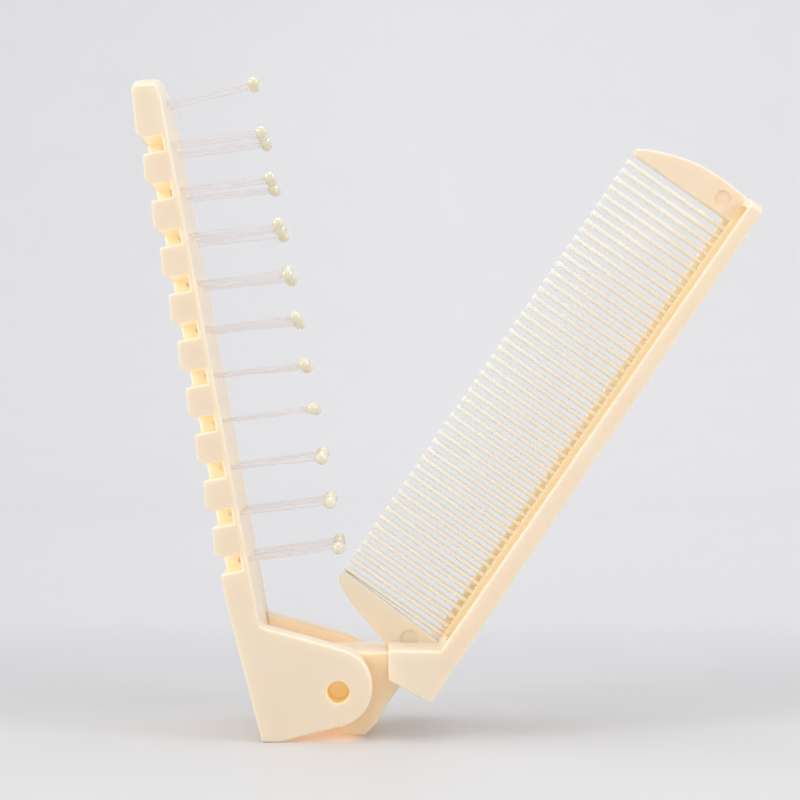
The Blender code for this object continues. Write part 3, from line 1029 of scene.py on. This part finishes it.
def makeCombBody(material):
    c = comb
    body = sideLoft("combBody", coverCorners, c["edge"], 40)
    for side in (-1, 1):
        carve(body, channelCutter(side), "DIFFERENCE")

    joinPrism(body, "tongue", tongueOutline(), c["tongueHalf"], c["edge"], 3)
    bossOutline = arcPoints((0, 0), c["bossRadius"], 0, 360, 48)[:-1]
    joinPrism(body, "boss", bossOutline, c["bossReach"], c["bossEdge"], 5)
    for name, guard in guards.items():
        joinPrism(body, name, smoothRun(guard["curve"]) + list(guard["rest"]), c["bladeHalf"], c["edge"], 3)

    for out, up in c["dimples"]:
        for side in (-1, 1):
            deep, clear = side * (c["bladeHalf"] - c["dimpleDepth"]), side * (c["bladeHalf"] + 1)
            build = bmesh.new()
            addRod(build, (out, up), c["dimpleRadius"], *sorted((deep, clear)), 32)
            carve(body, makeShape("dimple", build), "DIFFERENCE")

    runTree(body, toothTree(), {
        "Teeth": tooth["count"], "First": tooth["first"], "Last": tooth["last"], "Root": tooth["root"],
        "Tip": c["tip"], "Half Height": tooth["halfHeight"], "Half Thickness": tooth["halfThickness"],
        "Corner": tooth["corner"], "Tip Share": tooth["tipShare"], "Taper Stop": tooth["taperStop"],
        "End Share": tooth["endShare"], "End Start": tooth["endStart"], "Material": material,
    })
    finishShape(body, "comb", "comb")
    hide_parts("comb_body")
    return body


# Studio
studio = {
    "floorColour": (0.92, 0.92, 0.93),
    "floorRoughness": 0.45,
    "wallDistance": 0.95,
    "wallBend": 0.35,
    "wallHeight": 1.3,
    "floorFront": -0.075,  # short, so that the half that hangs below the floor when straight is seen
    "halfWide": 1.8,
    # brightness of the paper by distance behind the foot: painted shade, darker in a band close behind it
    "paintedShadeTones": ((-0.3, 0.775), (0.0, 0.77), (0.04, 0.625), (0.15, 0.75), (0.6, 0.995)),
    "paintedLeftShade": 0.96,  # painted shade: it is this much darker at the left, over this range
    "leftRange": (-0.15, 0.05),
    "fibreScale": 40.0,
    "fibreTones": (0.985, 1.015),
    "paintedWarmLight": (1.05, 1.02, 1.0),  # painted warm light that falls through the plastic, round the foot
    "warmReach": (0.008, 0.035),
    "paintedUnderGlow": (0.30, 0.19, 0.12),  # the same painted light, as a glow between the foot and the tongue
    "underOut": (0.5, 15),
    "underUp": (-5, 5),
    "underBlur": 1.5,
    "ambient": 0.77,
    "ambientColour": (1.0, 1.0, 1.02),
    "cameraPlace": (0.0170, -0.3178, 0.0613),
    "cameraTilt": 89.772,
    "cameraTurn": -1.02,
    "lens": 78.35,
}
lamps = {  # place, size and power in metres and watts; each looks at the object's middle
    "topSoftbox": {"place": (0.03, 0.0, 0.8), "size": 0.6, "power": 1.5},
    "leftSoftbox": {"place": (-0.55, -0.25, 0.35), "size": 0.2, "power": 1.1},
    "rightSoftbox": {"place": (0.65, -0.25, 0.35), "size": 0.2, "power": 1.0},
}


def paperFibreAndPaintedShade(tree, place):  # brightness of the paper: random fibres, and painted shade in a darker band behind the foot and a darker left
    s = studio
    low, high = s["fibreTones"]
    fibre = put(tree, "ShaderNodeTexNoise", {"Vector": place, "Scale": s["fibreScale"], "Detail": 4.0})
    shade = put(tree, "ShaderNodeMapRange", {
        "Value": fibre.outputs["Fac"], "To Min": low, "To Max": high,
    })
    spot = put(tree, "ShaderNodeSeparateXYZ", {"Vector": place}).outputs
    first, last = s["paintedShadeTones"][0][0], s["paintedShadeTones"][-1][0]
    along = put(tree, "ShaderNodeMapRange", {"Value": spot["Y"], "From Min": first, "From Max": last})
    tone = put(tree, "ShaderNodeValToRGB", {"Fac": along.outputs[0]})
    ramp = tone.color_ramp
    ramp.interpolation = "B_SPLINE"
    while len(ramp.elements) < len(s["paintedShadeTones"]):
        ramp.elements.new(0.5)
    for stop, (y, value) in zip(ramp.elements, s["paintedShadeTones"]):
        stop.position = (y - first) / (last - first)
        stop.color = (value, value, value, 1)
    left, right = s["leftRange"]
    side = put(tree, "ShaderNodeMapRange", {
        "Value": spot["X"], "From Min": left, "From Max": right, "To Min": s["paintedLeftShade"],
    })
    return product(tree, product(tree, shade.outputs[0], tone.outputs["Color"]), side.outputs[0])


def studioPaper():
    s = studio
    material, tree, shader, place = startMaterial("studio paper")
    # painted warm light in the paper's colour round the foot
    away = put(tree, "ShaderNodeVectorMath", {0: place}, operation="LENGTH")
    near, far = s["warmReach"]
    spot = put(tree, "ShaderNodeMapRange", {
        "Value": away.outputs["Value"], "From Min": near, "From Max": far, "To Min": 1.0, "To Max": 0.0,
    }, interpolation_type="SMOOTHSTEP")
    plain = s["floorColour"]
    warm = [value * boost for value, boost in zip(plain, s["paintedWarmLight"])]
    colour = put(tree, "ShaderNodeVectorMath", {
        0: mixed(tree, spot.outputs[0], plain, warm), "Scale": paperFibreAndPaintedShade(tree, place),
    }, operation="SCALE")
    tree.links.new(colour.outputs[0], shader.inputs["Base Color"])
    # painted glow on the paper between the foot and the tongue
    under = boxMask(tree, place, s["underOut"], halfWidth - 0.5, s["underUp"], s["underBlur"])
    tree.links.new(mixed(tree, under, (0, 0, 0), s["paintedUnderGlow"]), shader.inputs["Emission Color"])
    setPlain(shader, {"Emission Strength": 1.0, "Roughness": s["floorRoughness"]})
    return material


def makeBackdrop():  # floor and wall in one bent sheet of paper
    s = studio
    bendMiddle = (s["wallDistance"] - s["wallBend"], s["wallBend"])
    profile = [(s["floorFront"], 0.0)]
    profile += arcPoints(bendMiddle, s["wallBend"], -90, 0, 24)
    profile.append((s["wallDistance"], s["wallHeight"]))
    build = bmesh.new()
    left, right = ([build.verts.new((x, y, z)) for y, z in profile] for x in (-s["halfWide"], s["halfWide"]))
    for i in range(len(profile) - 1):
        build.faces.new((left[i], right[i], right[i + 1], left[i + 1]))
    sweep = makeShape("sweep", build)
    sweep.data.shade_smooth()
    sweep.data.materials.append(studioPaper())


def makeLight():
    world = bpy.data.worlds.new("studio air")
    bpy.context.scene.world = world
    world.use_nodes = True
    air = world.node_tree.nodes["Background"]
    air.inputs["Color"].default_value = (*studio["ambientColour"], 1)
    air.inputs["Strength"].default_value = studio["ambient"]
    middle = (cadBox[0] + cadBox[1]) / 2
    for name, lamp in lamps.items():
        light = bpy.data.lights.new(name, "AREA")
        light.shape = "DISK"
        light.size = lamp["size"]
        light.energy = lamp["power"]
        obj = bpy.data.objects.new(name, light)
        bpy.context.scene.collection.objects.link(obj)
        obj.location = lamp["place"]
        obj.rotation_euler = (middle - obj.location).to_track_quat("-Z", "Y").to_euler()


def makeCamera():
    s = studio
    lens = bpy.data.cameras.new("camera")
    lens.lens = s["lens"]
    lens.sensor_width = 36
    lens.clip_start = 0.01
    camera = bpy.data.objects.new("camera", lens)
    bpy.context.scene.collection.objects.link(camera)
    camera.location = s["cameraPlace"]
    camera.rotation_euler = (math.radians(s["cameraTilt"]), 0, math.radians(s["cameraTurn"]))
    bpy.context.scene.camera = camera
    bpy.context.scene.view_settings.view_transform = "Standard"


makeBrushBody(ivoryPlastic("brush"))
print("brush body made")
makeBristles(clearNylon(), tipResin())
print("bristles made")
makeCombBody(ivoryPlastic("comb"))
print("comb made")
makeBackdrop()
makeLight()
makeCamera()
print("studio made")
